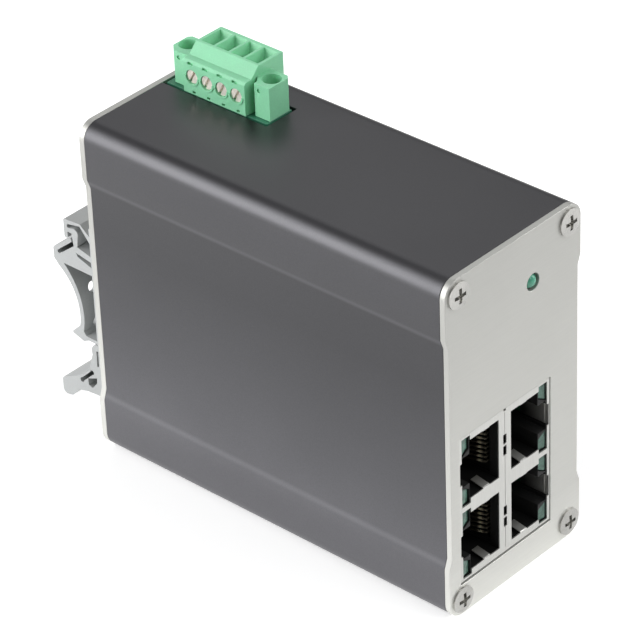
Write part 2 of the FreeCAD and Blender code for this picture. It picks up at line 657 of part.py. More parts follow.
def lamp_holder():
    side = HOLDER_SIDE
    y0 = PLATE_THICKNESS + PIPE_SETBACK
    y1 = LAMP_CENTRE + LAMP_BODY + LAMP_LEG_PITCH - LAMP_LEG
    holder = block(LAMP_X - side, BOARD_FACE, y0, y1, LAMP_Z - side, LAMP_Z + side)
    room = rod(LAMP_X, y0 - 1, LAMP_Z, LAMP_FLANGE, LAMP_CENTRE + LAMP_BODY - y0 + 1, Y_AXIS)
    legs = [lamp_leg_room(z, PIN_CLEARANCE)[0] for z in lamp_leg_heights()]
    return holder.cut([room] + legs)


# --- terminal header and plug ---

def pole_centres():
    return [TERM_Y + dy for dy in spread(TERM_POLES, TERM_PITCH)]


def ear_centres():
    return [TERM_Y - EAR_HOLE_SPREAD, TERM_Y + EAR_HOLE_SPREAD]


def header_pin_room(y, grow):
    half = HEADER_PIN / 2 + grow
    return [block(EAR_X - 2 * half, EAR_X, y - half, y + half, HEADER_BOTTOM - 2 * half,
                  PLUG_LOW - 2 * HEADER_SHELL),
            block(EAR_X - 2 * half, BOARD_FAR + TAIL, y - half, y + half,
                  HEADER_BOTTOM - HEADER_PIN - grow, HEADER_BOTTOM + grow)]


def terminal_header():
    s = HEADER_SHELL
    body = block(HEADER_LEFT, BOARD_FACE, TERM_Y - TERM_HALF, TERM_Y + TERM_HALF, HEADER_BOTTOM, HEADER_TOP)
    cuts = [block(HEADER_LEFT + s, BOARD_FACE - s, TERM_Y - POLES_HALF, TERM_Y + POLES_HALF,
                  HEADER_BOTTOM + HEADER_FLOOR, HEADER_TOP + 1)]
    nut = HEADER_TOP - NUT_HEIGHT
    cuts += [rod(EAR_X, y, nut, NUT_RADIUS, NUT_HEIGHT + 1, Z_AXIS) for y in ear_centres()]
    cuts += [block(EAR_X - HEADER_PIN, EAR_X, y - HEADER_PIN / 2, y + HEADER_PIN / 2,
                   HEADER_BOTTOM - 1, HEADER_TOP) for y in pole_centres()]
    return body.cut(cuts)


def header_pins():
    return group([joined(header_pin_room(y, 0)) for y in pole_centres()])


def header_nuts():
    nuts = []
    low = HEADER_TOP - NUT_HEIGHT
    for y in ear_centres():
        sleeve = rod(EAR_X, y, low, NUT_RADIUS, NUT_HEIGHT, Z_AXIS)
        nuts.append(sleeve.cut(rod(EAR_X, y, low + HEADER_SHELL, FLANGE_SCREW_RADIUS, NUT_HEIGHT, Z_AXIS)))
    return group(nuts)


def ear_plan(side):
    """Flange of the plug; on the front side a groove keeps it apart from the screw face."""
    root = TERM_Y + side * (POLES_HALF - EAR_GROOVE)
    tip = TERM_Y + side * TERM_HALF
    right = EAR_FACE + EAR_WIDTH
    far = [(right - EAR_CORNER / 2, tip), (right, tip - side * EAR_CORNER / 2), (right, root)]
    if side > 0:
        return [(EAR_FACE, root), (EAR_FACE, tip - EAR_CORNER), (EAR_FACE + EAR_CORNER, tip)] + far
    groove = TERM_Y - POLES_HALF
    near = groove - EAR_GROOVE
    deep = EAR_FACE + EAR_GROOVE_DEPTH
    return [(deep, root), (deep, groove), (deep - EAR_SETBACK, near), (EAR_FACE, near), (EAR_FACE, tip)] + far


def funnel(y):
    """Wire entry: a tapered mouth over a straight throat that ends in the cage."""
    x1 = PLUG_BACK - FUNNEL_WALL
    x0 = x1 - FUNNEL_LENGTH
    foot = CAGE_TOP + FUNNEL_FLOOR
    middle = (x0 + x1) / 2

    def ring(a, b, half, z):
        corners = ((a, y - half), (b, y - half), (b, y + half), (a, y + half), (a, y - half))
        return Part.makePolygon([FreeCAD.Vector(cx, cy, z) for cx, cy in corners])

    throat = (middle - THROAT_LENGTH / 2, middle + THROAT_LENGTH / 2)
    mouth = Part.makeLoft([ring(x0, x1, FUNNEL_HALF, PLUG_TOP),
                           ring(throat[0], throat[1], THROAT_HALF, foot)], True)
    return mouth.fuse(block(throat[0], throat[1], y - THROAT_HALF, y + THROAT_HALF,
                            PLUG_LOW + CAGE_LOW, foot))


def cage_box(y):
    x1 = PLUG_BACK - FUNNEL_WALL - CAGE_WALL
    return block(x1 - CAGE_LENGTH, x1, y - CAGE_HALF, y + CAGE_HALF, PLUG_LOW + CAGE_LOW, CAGE_TOP)


def cage_hole(y, grow):
    x1 = PLUG_BACK - FUNNEL_WALL - 2 * CAGE_WALL + grow
    half = CAGE_HALF - CAGE_WALL + grow
    return block(x1 - CAGE_LENGTH + 3 * CAGE_WALL, x1, y - half, y + half, PLUG_LOW, CAGE_TOP + 1)


def plug_collars(y):
    """Raised rim round the lower half of a screw hole."""
    outer = rod(PLUG_FACE - CLAMP_COLLAR / 2, y, CLAMP_Z, CLAMP_HOLE + CLAMP_COLLAR, CLAMP_COLLAR, X_AXIS)
    top = block(PLUG_FACE - 1, PLUG_FACE + 1, y - CLAMP_HOLE * 2, y + CLAMP_HOLE * 2, CLAMP_Z, CLAMP_Z + 3)
    return outer.cut(top)


def plug_cuts():
    cuts = [rod(EAR_X, y, EAR_HOLE_FLOOR, EAR_HOLE_RADIUS, EAR_HOLE_DEPTH + 1, Z_AXIS) for y in ear_centres()]
    cuts += [rod(EAR_X, y, PLUG_LOW - 1, FLANGE_SCREW_RADIUS + PIN_CLEARANCE, 9, Z_AXIS)
             for y in ear_centres()]
    for side in (-1, 1):
        y = TERM_Y + side * (EAR_HOLE_SPREAD - DIMPLE_RADIUS)
        cuts.append(rod(EAR_FACE - 1, y, PLUG_ROOF - 3 * DIMPLE_RADIUS, DIMPLE_RADIUS, 1.3, X_AXIS))
    for y in pole_centres():
        cuts.append(rod(PLUG_FACE - 1, y, CLAMP_Z, CLAMP_HOLE, CLAMP_REACH - 1, X_AXIS))
        mark = CLAMP_Z + CLAMP_HOLE + 2 * PLUG_EDGE
        cuts.append(block(PLUG_FACE - 1, PLUG_FACE + PLUG_EDGE, y - 0.4, y + 1.0, mark, mark + PLUG_EDGE))
        low = PLUG_LOW + PLUG_EDGE
        cuts.append(block(PLUG_FACE - 1, PLUG_FACE + 1, y - 0.8, y, low - PLUG_EDGE / 2, low + PLUG_EDGE / 2))
        cuts.append(cage_box(y))
        cuts.append(funnel(y))
        cuts.append(block(EAR_X - 1.6 * HEADER_PIN, EAR_X + 0.6 * HEADER_PIN, y - 1.2 * HEADER_PIN,
                          y + 1.2 * HEADER_PIN, HEADER_BOTTOM, PLUG_LOW + CAGE_LOW))
    return cuts


def terminal_plug():
    head = prism_y([
        (PLUG_FACE, PLUG_LOW), (PLUG_FACE, PLUG_ROOF - PLUG_EDGE), (PLUG_FACE + PLUG_EDGE, PLUG_ROOF),
        (PLUG_FACE + PLUG_ROOF_FOOT, PLUG_ROOF), (PLUG_FACE + PLUG_ROOF_HEAD, PLUG_TOP),
        (PLUG_BACK, PLUG_TOP),
        (PLUG_BACK, PLUG_LOW + CLAMP_HOLE), (BOARD_FACE, PLUG_LOW)], TERM_Y - POLES_HALF, TERM_Y + POLES_HALF)
    s = HEADER_SHELL + HEADER_FIT
    ends = POLES_HALF - HEADER_FIT
    stem = block(HEADER_LEFT + s, BOARD_FACE - s, TERM_Y - ends, TERM_Y + ends,
                 HEADER_BOTTOM + HEADER_FLOOR + HEADER_FIT, PLUG_LOW + 1)
    ears = [prism_z(ear_plan(side), PLUG_LOW, PLUG_ROOF) for side in (-1, 1)]
    collars = [plug_collars(y) for y in pole_centres()]
    return head.fuse([stem] + ears + collars).cut(plug_cuts()).removeSplitter()


def clamp_screws():
    screws = []
    x0 = PLUG_FACE + CLAMP_HEAD_SINK
    for y in pole_centres():
        head = rod(x0, y, CLAMP_Z, CLAMP_HEAD_RADIUS, CLAMP_SCREW_RADIUS, X_AXIS)
        shank = rod(x0, y, CLAMP_Z, CLAMP_SCREW_RADIUS, CLAMP_REACH, X_AXIS)
        slot = block(-1, CLAMP_SCREW_RADIUS / 2, -0.22, 0.22, -2, 2)
        slot.Placement = FreeCAD.Placement(FreeCAD.Vector(x0, y, CLAMP_Z),
                                           FreeCAD.Rotation(FreeCAD.Vector(*X_AXIS), 28))
        screws.append(head.fuse(shank).cut(slot).removeSplitter())
    return group(screws)


def clamp_cages():
    cages = []
    for y in pole_centres():
        cage = cage_box(y).cut(cage_hole(y, 0))
        cages.append(cage.cut(rod(PLUG_FACE, y, CLAMP_Z, CLAMP_SCREW_RADIUS, CLAMP_REACH, X_AXIS)))
    return group(cages)


def plug_contacts():
    """Forked springs that take the header's pins."""
    springs = []
    leaf = HEADER_PIN / 2
    half = 0.8 * HEADER_PIN
    low = HEADER_BOTTOM + 2 * HEADER_FLOOR
    high = PLUG_LOW + CAGE_LOW
    for y in pole_centres():
        left = block(EAR_X - HEADER_PIN - leaf, EAR_X - HEADER_PIN, y - half, y + half, low, high)
        right = block(EAR_X, EAR_X + leaf, y - half, y + half, low, high)
        roof = block(EAR_X - HEADER_PIN - leaf, EAR_X + leaf, y - half, y + half, high - half, high)
        springs.append(joined([left, right, roof]))
    return group(springs)


def flange_screws():
    screws = []
    low = HEADER_TOP - NUT_HEIGHT + 2 * HEADER_SHELL
    for y in ear_centres():
        head = rod(EAR_X, y, EAR_HOLE_FLOOR, EAR_HOLE_RADIUS - HEADER_FIT, FLANGE_SCREW_RADIUS, Z_AXIS)
        shank = rod(EAR_X, y, low, FLANGE_SCREW_RADIUS, EAR_HOLE_FLOOR - low, Z_AXIS)
        slot = block(EAR_X - 3, EAR_X + 3, y - 0.25, y + 0.25, EAR_HOLE_FLOOR + HEADER_SHELL, PLUG_TOP)
        screws.append(head.fuse(shank).cut(slot).removeSplitter())
    return group(screws)


# --- rail clip ---

def clip_hook():
    """Upper hook: lip, groove for the rail's rim, and the slot that lets the lip give."""
    root = CLIP_BASE / 2
    seat = RAIL_SEAT
    lip = RAIL_SEAT + RAIL_SHEET
    out = lip + CLIP_SKIN
    top = RAIL_TOP
    return [(root, top - 1.6), (seat - 2.4, top + 2.45), (lip - 0.2, top + 1.8),
            (lip, top + 1.3, lip - 0.3, top + 0.95),
            (seat - 0.3, top + 1.2), (seat - 1.5, top + 0.9, seat - 1.7, top - 0.2), (seat - 1.4, top - 2.6),
            (seat - 0.4, top - 2.9), (seat, top), (lip, top), (lip, top - 1.3),
            (lip + 0.6, top - 1.5, out, top - 0.9), (out, top + 2.3),
            (out - 0.1, top + 2.6, out - 0.4, top + 2.7),
            (seat - 2.6, top + 3.0), (root, top + 0.3)]


def clip_web():
    """Wall behind the rail groove, bent towards the base."""
    root = CLIP_BASE / 2
    seat = RAIL_SEAT
    top = RAIL_TOP
    return [(root, top - 3.8), (seat - 1.6, top - 2.7), (seat - 0.4, top - 2.8), (seat - 0.4, top - 3.6),
            (seat - 1.1, top - 4.2), (root, top - 5.0)]


def clip_arm():
    """Sprung arm with a rounded nose and a bent-back end that presses on the rail."""
    root = CLIP_BASE / 2
    seat = RAIL_SEAT
    nose = CLIP_REACH - 0.5
    top = RAIL_TOP
    return [(root, top - 7.9), (nose - 2.7, top - 7.9), (nose - 1.1, top - 8.8), (nose, top - 7.6),
            (nose, top - 5.4), (nose - 0.1, top - 5.0, nose - 0.5, top - 4.7), (seat + 0.35, top - 1.25),
            (seat + 0.15, top - 2.0), (nose - 1.2, top - 5.4),
            (nose - 1.3, top - 5.95, nose - 1.9, top - 5.9),
            (seat - 0.3, top - 2.9), (seat - 1.3, top - 4.9), (root, top - 6.4)]


def clip_leaf():
    """Long curved spring from the nose down to the lower foot."""
    root = CLIP_BASE / 2
    top = RAIL_TOP
    nose = CLIP_REACH - 1.6
    skin = CLIP_SKIN
    mid = RAIL_SEAT + 0.3
    low = RAIL_SEAT - 0.4
    return [(nose, top - 8.8), (mid, top - 13.9, low, top - 21.2), (mid + 1.4, top - 23.2),
            (mid + 1.5, top - 23.6, mid + 1.2, top - 23.8), (low - 0.7, top - 24.6), (low - 2.2, top - 23.9),
            (root, top - 23.9), (root, top - 23.2), (low - 1.6, top - 23.1),
            (low - skin, top - 22.3), (mid - skin, top - 13.0, nose - 1.5, top - 7.9)]


def clip_foot():
    """Lower foot: ramp, seat for the rail's lower rim and the thin web that carries it."""
    root = CLIP_BASE / 2
    low = RAIL_LOW
    seat = RAIL_SEAT
    reach = CLIP_REACH
    return [(root, low - 2.6), (seat - 1.0, low - 3.0), (seat + 1.2, low - 3.6), (reach - 2.6, low - 5.8),
            (reach - 1.3, low - 6.1), (reach - 0.3, low - 5.8, reach, low - 4.9),
            (reach, low - 3.2), (reach - 0.12, low - 2.6, reach - 0.5, low - 2.2), (seat + 2.1, low - 0.6),
            (seat - 0.3, low + 0.8), (seat - 1.9, low + 2.4), (seat - 3.3, low + 6.8),
            (seat - 3.2, low + 8.2, seat - 4.3, low + 9.4), (root, low + 9.4), (root, low + 4)]


def clip_foot_cuts():
    """Diagonal spring slot with round ends, hollow pocket, and slit behind the web."""
    low = RAIL_LOW
    seat = RAIL_SEAT
    near = (seat + 0.3, low - 0.8)
    far = (seat - 2.7, low + 2.1)
    half = CLIP_SKIN * 0.3
    bar = [(near[0] - half, near[1] - half), (near[0] + half, near[1] + half),
           (far[0] + half, far[1] + half), (far[0] - half, far[1] - half)]
    pocket = [(seat - 1.4, low + 0.2), (seat - 4.0, low + 1.3), (seat - 3.9, low), (seat - 2.6, low - 1.6),
              (seat - 1.5, low - 1.3)]
    slit = [(CLIP_BASE, low + 4.3), (CLIP_BASE + 0.6, low + 4.3), (CLIP_BASE + 0.5, low + 7.9),
            (CLIP_BASE, low + 8.0)]
    ends = [rod(-CLIP_HALF, BODY_DEPTH + d, z, CLIP_SKIN * 0.6, 2 * CLIP_HALF, X_AXIS)
            for d, z in (near, far)]
    return [clip_solid(bar), clip_solid(pocket), clip_solid(slit)] + ends


def clip_solid(path):
    """A path of distances behind the back plate and heights, over the clip's whole width."""
    moved = []
    for step in path:
        if len(step) == 4:
            moved.append((BODY_DEPTH + step[0], step[1], BODY_DEPTH + step[2], step[3]))
        else:
            moved.append((BODY_DEPTH + step[0], step[1]))
    return prism_x(moved, -CLIP_HALF, CLIP_HALF)


def din_clip():
    base = [(0, RAIL_LOW - 2.6), (CLIP_BASE, RAIL_LOW - 2.6), (CLIP_BASE, RAIL_TOP + 2.9),
            (0, RAIL_TOP + 2.9)]
    solids = [clip_solid(path)
              for path in (base, clip_hook(), clip_web(), clip_arm(), clip_leaf(), clip_foot())]
    cuts = clip_foot_cuts()
    leaf = BODY_DEPTH + 2 * CLIP_BASE
    for x, z in clip_screw_places():
        cuts.append(rod(x, BODY_DEPTH - 1, z, CLIP_SCREW_RADIUS + SCREW_CLEARANCE, CLIP_BASE + 2, Y_AXIS))
        cuts.append(rod(x, leaf, z, CLIP_ACCESS, CLIP_REACH, Y_AXIS))
    for x in (WINDOW_MARGIN - CLIP_HALF, CLIP_HALF - WINDOW_MARGIN):
        for drop in WINDOW_DROPS:
            cuts.append(rod(x, leaf, RAIL_TOP - drop, WINDOW_RADIUS, CLIP_REACH, Y_AXIS))
    return joined(solids).cut(cuts).removeSplitter()


def clip_screws():
    screws = []
    y = BODY_DEPTH + CLIP_BASE
    for x, z in clip_screw_places():
        head = rod(x, y, z, CLIP_HEAD_RADIUS, CLIP_HEAD_HEIGHT, Y_AXIS)
        length = CLIP_BASE + PLATE_THICKNESS + 1.5 * CLIP_NUT_HEIGHT
        shank = rod(x, y, z, CLIP_SCREW_RADIUS, length, (0, -1, 0))
        slot = block(x - 0.3, x + 0.3, y + CLIP_HEAD_HEIGHT / 2, y + 3, z - 3, z + 3)
        screws.append(head.fuse(shank).cut(slot).removeSplitter())
    return group(screws)


def clip_nuts():
    nuts = []
    y0 = BACK_PLATE_FRONT - CLIP_NUT_HEIGHT
    for x, z in clip_screw_places():
        corners = []
        for k in range(6):
            angle = math.radians(60 * k)
            corners.append((x + CLIP_NUT * math.cos(angle), z + CLIP_NUT * math.sin(angle)))
        nut = prism_y(corners, y0, BACK_PLATE_FRONT)
        nuts.append(nut.cut(rod(x, y0 - 1, z, CLIP_SCREW_RADIUS, CLIP_NUT_HEIGHT + 2, Y_AXIS)))
    return group(nuts)


# --- board and its parts ---

def main_board():
    board = block(BOARD_FACE, BOARD_FAR, BOARD_FRONT, BOARD_BACK, WALL, BOARD_TOP)
    grow = PIN_CLEARANCE
    cuts = jack_pin_room(grow)
    for y in JACK_TAB_PLACES:
        for z in (JACK_LOW, JACK_HIGH - SHIELD_SHEET):
            cuts.append(block(BOARD_FACE - 1, BOARD_FAR + 1, y - grow, y + JACK_TAB + grow,
                              z - grow, z + SHIELD_SHEET + grow))
    cuts += [header_pin_room(y, grow)[1] for y in pole_centres()]
    cuts += [lamp_leg_room(z, grow)[1] for z in lamp_leg_heights()]
    return board.cut(cuts)


def on_board(height, y0, y1, z0, z1):
    """Box of that height standing on the side of the board that carries the jack."""
    return block(BOARD_FACE - height, BOARD_FACE, y0, y1, z0, z1)


def switch_chip():
    half = CHIP_SIDE / 2
    top = CHIP_STANDOFF + CHIP_HEIGHT
    body = block(BOARD_FACE - top, BOARD_FACE - CHIP_STANDOFF, CHIP_Y - half, CHIP_Y + half,
                 CHIP_Z - half, CHIP_Z + half)
    pad = half / 2
    return body.fuse(on_board(top, CHIP_Y - pad, CHIP_Y + pad, CHIP_Z - pad, CHIP_Z + pad)).removeSplitter()


def chip_legs():
    legs = []
    half = CHIP_SIDE / 2
    w = CHIP_LEG_WIDTH / 2
    for a in spread(CHIP_LEG_COUNT, CHIP_LEG_PITCH):
        for side in (-1, 1):
            i, j = sorted((side * half, side * (half + CHIP_LEG_LENGTH)))
            legs.append(on_board(2 * w, CHIP_Y + i, CHIP_Y + j, CHIP_Z + a - w, CHIP_Z + a + w))
            legs.append(on_board(2 * w, CHIP_Y + a - w, CHIP_Y + a + w, CHIP_Z + i, CHIP_Z + j))
    return group(legs)


def heat_sink():
    half = SINK_SIDE / 2
    foot = BOARD_FACE - CHIP_STANDOFF - CHIP_HEIGHT
    shapes = [block(foot - SINK_BASE, foot, CHIP_Y - half, CHIP_Y + half, CHIP_Z - half, CHIP_Z + half)]
    for a in spread(SINK_FINS, (SINK_SIDE - SINK_FIN) / (SINK_FINS - 1)):
        shapes.append(block(foot - SINK_HEIGHT, foot - SINK_BASE, CHIP_Y - half, CHIP_Y + half,
                            CHIP_Z + a - SINK_FIN / 2, CHIP_Z + a + SINK_FIN / 2))
    return joined(shapes)


def memory_chip():
    y0 = JACK_BACK + MEMORY_BEHIND_JACK
    z0 = CHIP_Z + MEMORY_RISE
    return on_board(CHIP_HEIGHT, y0, y0 + MEMORY_WIDTH, z0, z0 + MEMORY_LENGTH)


def crystal():
    z0 = CHIP_Z + CHIP_SIDE
    can = on_board(CRYSTAL_HEIGHT, CHIP_Y - CRYSTAL_WIDTH, CHIP_Y, z0, z0 + CRYSTAL_LENGTH)
    upright = [edge for edge in can.Edges if abs(edge.Length - CRYSTAL_HEIGHT) < 1e-6]
    return can.makeFillet(CRYSTAL_WIDTH * 0.4, upright)


def capacitors():
    cans = []
    low = WALL + GUIDE_HEIGHT + CAN_RADIUS
    small = low + CAN_RADIUS + 2 * SMALL_CAN_RADIUS
    back = BOARD_BACK - 1.5 * CAN_RADIUS
    for y, z, radius, height in ((back, low, CAN_RADIUS, CAN_HEIGHT),
                                 (back - 2.6 * CAN_RADIUS, low, CAN_RADIUS, CAN_HEIGHT),
                                 (back - 2.6 * CAN_RADIUS, small, SMALL_CAN_RADIUS, SMALL_CAN_HEIGHT)):
        can = rod(BOARD_FACE - height, y, z, radius, height, X_AXIS)
        cans.append(can.makeFillet(radius / 8, [can.Edges[0]]))
    return group(cans)


def power_inductor():
    half = INDUCTOR_SIDE / 2
    y = BOARD_BACK - INDUCTOR_BACK
    z = HEADER_BOTTOM - INDUCTOR_DROP
    core = on_board(INDUCTOR_HEIGHT, y - half, y + half, z - half, z + half)
    upright = [edge for edge in core.Edges if abs(edge.Length - INDUCTOR_HEIGHT) < 1e-6]
    return core.makeChamfer(INDUCTOR_SIDE / 8, upright)


def power_regulator():
    y = BOARD_BACK - REGULATOR_BACK
    z = HEADER_BOTTOM - REGULATOR_DROP
    a = REGULATOR_LENGTH / 2
    b = REGULATOR_WIDTH / 2
    leg = CHIP_LEG_WIDTH
    shapes = [block(BOARD_FACE - CHIP_HEIGHT, BOARD_FACE - CHIP_STANDOFF, y - a, y + a, z - b, z + b),
              on_board(CHIP_HEIGHT, y - a / 2, y + a / 2, z - a / 2, z + a / 2)]
    for dz in spread(4, REGULATOR_LEG_PITCH):
        shapes.append(on_board(2 * leg, y - 1.5 * a, y + 1.5 * a, z + dz - leg / 1.3, z + dz + leg / 1.3))
    return joined(shapes)


def power_diodes():
    z1 = HEADER_BOTTOM - DIODE_DROP
    rows = [BOARD_BACK - DIODE_BACK - n * DIODE_PITCH for n in (2, 1, 0)]
    return group([on_board(DIODE_HEIGHT, y - DIODE_WIDTH / 2, y + DIODE_WIDTH / 2, z1 - DIODE_LENGTH, z1)
                  for y in rows])


def input_fuse():
    y1 = BOARD_BACK - FUSE_BACK
    z1 = HEADER_BOTTOM - FUSE_DROP
    return on_board(FUSE_HEIGHT, y1 - FUSE_WIDTH, y1, z1 - FUSE_LENGTH, z1)


def chip_capacitors():
    parts = []
    half = SMALL_PART / 2
    for dy in spread(6, CAPACITOR_PITCH_Y):
        for dz in spread(3, CAPACITOR_PITCH_Z):
            y = CHIP_Y + dy
            z = CHIP_Z + dz
            parts.append(block(BOARD_FAR, BOARD_FAR + half, y - half, y + half, z - half / 2, z + half / 2))
    return group(parts)


def chip_resistors():
    y0 = JACK_BACK + SMALL_PART
    half = SMALL_PART / 4
    return group([on_board(RESISTOR_HEIGHT, y0, y0 + SMALL_PART, CHIP_Z + dz - half, CHIP_Z + dz + half)
                  for dz in spread(8, RESISTOR_PITCH)])


os.makedirs("parts", exist_ok=True)

save("housing_extrusion", housing_extrusion())
save("front_plate", front_plate())
save("back_plate", back_plate())
save("front_plate_screws", plate_screws(0, -1))
save("back_plate_screws", plate_screws(BODY_DEPTH, 1))
save("jack_shield", jack_shield())
save("jack_insulator", jack_insulator())
save("jack_contacts", jack_contacts())
save("jack_light_pipes", jack_light_pipes())
save("jack_leds", jack_leds())
save("jack_signal_board", jack_signal_board())
save("jack_magnetics", jack_magnetics())
save("jack_pins", group(jack_pin_room(0)))
save("status_lamp", status_lamp())
save("lamp_legs", lamp_legs())
save("lamp_holder", lamp_holder())
save("terminal_header", terminal_header())
save("header_pins", header_pins())
save("header_nuts", header_nuts())
save("terminal_plug", terminal_plug())
save("clamp_screws", clamp_screws())
save("clamp_cages", clamp_cages())
save("plug_contacts", plug_contacts())
save("flange_screws", flange_screws())
save("din_clip", din_clip())
save("clip_screws", clip_screws())
save("clip_nuts", clip_nuts())
save("main_board", main_board())
save("switch_chip", switch_chip())
save("chip_legs", chip_legs())
save("heat_sink", heat_sink())
save("memory_chip", memory_chip())
save("crystal", crystal())
save("capacitors", capacitors())
save("power_inductor", power_inductor())
save("power_regulator", power_regulator())
save("power_diodes", power_diodes())
save("input_fuse", input_fuse())
save("chip_capacitors", chip_capacitors())
save("chip_resistors", chip_resistors())
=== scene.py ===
import bpy
import bmesh
import math
from mathutils import Matrix, Vector


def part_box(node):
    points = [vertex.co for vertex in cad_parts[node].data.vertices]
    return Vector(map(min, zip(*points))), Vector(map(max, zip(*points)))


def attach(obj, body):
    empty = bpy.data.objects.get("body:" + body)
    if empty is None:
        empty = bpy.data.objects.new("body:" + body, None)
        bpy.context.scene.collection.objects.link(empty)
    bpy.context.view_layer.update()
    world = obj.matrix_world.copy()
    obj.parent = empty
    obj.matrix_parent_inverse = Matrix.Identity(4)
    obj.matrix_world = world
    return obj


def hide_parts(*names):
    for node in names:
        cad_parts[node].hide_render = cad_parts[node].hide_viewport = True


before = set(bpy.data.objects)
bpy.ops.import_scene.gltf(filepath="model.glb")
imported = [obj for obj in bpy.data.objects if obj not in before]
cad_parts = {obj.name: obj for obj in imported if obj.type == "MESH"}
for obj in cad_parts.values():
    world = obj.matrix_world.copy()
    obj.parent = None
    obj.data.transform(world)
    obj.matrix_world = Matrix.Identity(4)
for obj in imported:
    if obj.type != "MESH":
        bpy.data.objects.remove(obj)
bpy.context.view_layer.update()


view = {
    "place": (-0.42984, -0.35286, 0.42214),  # metres from the front plate's outer face
    "azimuth": -47.009,  # degrees, as are the next two
    "elevation": 33.198,
    "roll": -2.3028,
    "lens": 207.5,
    "sensor": 36.0,
    "clipStart": 0.01,
}


def makeCamera():
    turn = math.radians(view["azimuth"])
    tilt = math.radians(view["elevation"])
    roll = math.radians(view["roll"])
    forward = Vector((-math.sin(turn) * math.cos(tilt), math.cos(turn) * math.cos(tilt), -math.sin(tilt)))
    right = Vector((math.cos(turn), math.sin(turn), 0))
    up = right.cross(forward)
    rolledRight = right * math.cos(roll) + up * math.sin(roll)
    rolledUp = up * math.cos(roll) - right * math.sin(roll)
    lensData = bpy.data.cameras.new("camera")
    lensData.lens = view["lens"]
    lensData.sensor_width = view["sensor"]
    lensData.clip_start = view["clipStart"]
    camera = bpy.data.objects.new("camera", lensData)
    axes = Matrix((rolledRight, rolledUp, -forward)).transposed()
    frontFace = Vector((0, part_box("front_plate")[0].y, 0))
    camera.matrix_world = Matrix.Translation(frontFace + Vector(view["place"])) @ axes.to_4x4()
    bpy.context.scene.collection.objects.link(camera)
    bpy.context.scene.camera = camera
    print("camera placed")


def makeGroup(name, inputs, outputs):
    group = bpy.data.node_groups.new(name, "ShaderNodeTree")
    for label, kind, value in inputs:
        socket = group.interface.new_socket(label, in_out="INPUT", socket_type=kind)
        socket.default_value = value
    for label, kind in outputs:
        group.interface.new_socket(label, in_out="OUTPUT", socket_type=kind)
    start = group.nodes.new("NodeGroupInput")
    end = group.nodes.new("NodeGroupOutput")
    return group, start, end


def feed(tree, value, socket):
    # a number is set on the socket, and another socket is linked to it
    if isinstance(value, (int, float)):
        socket.default_value = value
    else:
        tree.links.new(value, socket)


def addMath(tree, kind, *values):
    node = tree.nodes.new("ShaderNodeMath")
    node.operation = kind
    for index, value in enumerate(values):
        feed(tree, value, node.inputs[index])
    return node.outputs["Value"]


def addNoise(tree, vector, scale, detail=3.0, roughness=0.5):
    node = tree.nodes.new("ShaderNodeTexNoise")
    for label, value in (("Vector", vector), ("Scale", scale), ("Detail", detail), ("Roughness", roughness)):
        feed(tree, value, node.inputs[label])
    return node.outputs["Fac"]


def addRange(tree, *values):
    # value, then the ends of the range it comes from and of the range it goes to
    node = tree.nodes.new("ShaderNodeMapRange")
    for label, value in zip(("Value", "From Min", "From Max", "To Min", "To Max"), values):
        feed(tree, value, node.inputs[label])
    return node


noiseRange = (0.3, 0.7)  # most of a noise lies between these


def spreadNoise(tree, noise, low, high):
    return addRange(tree, noise, *noiseRange, low, high).outputs["Result"]


def addScaled(tree, color, level):
    node = tree.nodes.new("ShaderNodeVectorMath")
    node.operation = "SCALE"
    tree.links.new(color, node.inputs[0])
    tree.links.new(level, node.inputs["Scale"])
    return node.outputs["Vector"]


def addSwing(tree, noise, depth):
    # noise turned into a brightness that swings about 1 by the given depth
    return addMath(tree, "MULTIPLY_ADD", spreadNoise(tree, noise, -1.0, 1.0), depth, 1.0)


surfaceInputs = [
    ("Vector", "NodeSocketVector", (0, 0, 0)),
    ("Base", "NodeSocketColor", (0.5, 0.5, 0.5, 1)),
    ("Level", "NodeSocketFloat", 1.0),
]
surfaceOutputs = [
    ("Color", "NodeSocketColor"), ("Roughness", "NodeSocketFloat"), ("Height", "NodeSocketFloat"),
]


def makeGrainGroup():
    # fine speckle over broad clouds, for blasted, cast and moulded surfaces
    group, start, end = makeGroup(
        "fineGrain",
        surfaceInputs + [
            ("Grain Scale", "NodeSocketFloat", 3000.0), ("Grain Depth", "NodeSocketFloat", 0.1),
            ("Cloud Scale", "NodeSocketFloat", 40.0), ("Cloud Depth", "NodeSocketFloat", 0.05),
            ("Rough Low", "NodeSocketFloat", 0.4), ("Rough High", "NodeSocketFloat", 0.5)],
        surfaceOutputs)
    grain = addNoise(group, start.outputs["Vector"], start.outputs["Grain Scale"], 2.0)
    cloud = addNoise(group, start.outputs["Vector"], start.outputs["Cloud Scale"], 4.0, 0.6)
    level = addMath(group, "MULTIPLY", addSwing(group, grain, start.outputs["Grain Depth"]),
                    addSwing(group, cloud, start.outputs["Cloud Depth"]))
    level = addMath(group, "MULTIPLY", level, start.outputs["Level"])
    group.links.new(addScaled(group, start.outputs["Base"], level), end.inputs["Color"])
    rough = spreadNoise(group, cloud, start.outputs["Rough Low"], start.outputs["Rough High"])
    group.links.new(rough, end.inputs["Roughness"])
    group.links.new(grain, end.inputs["Height"])
    return group


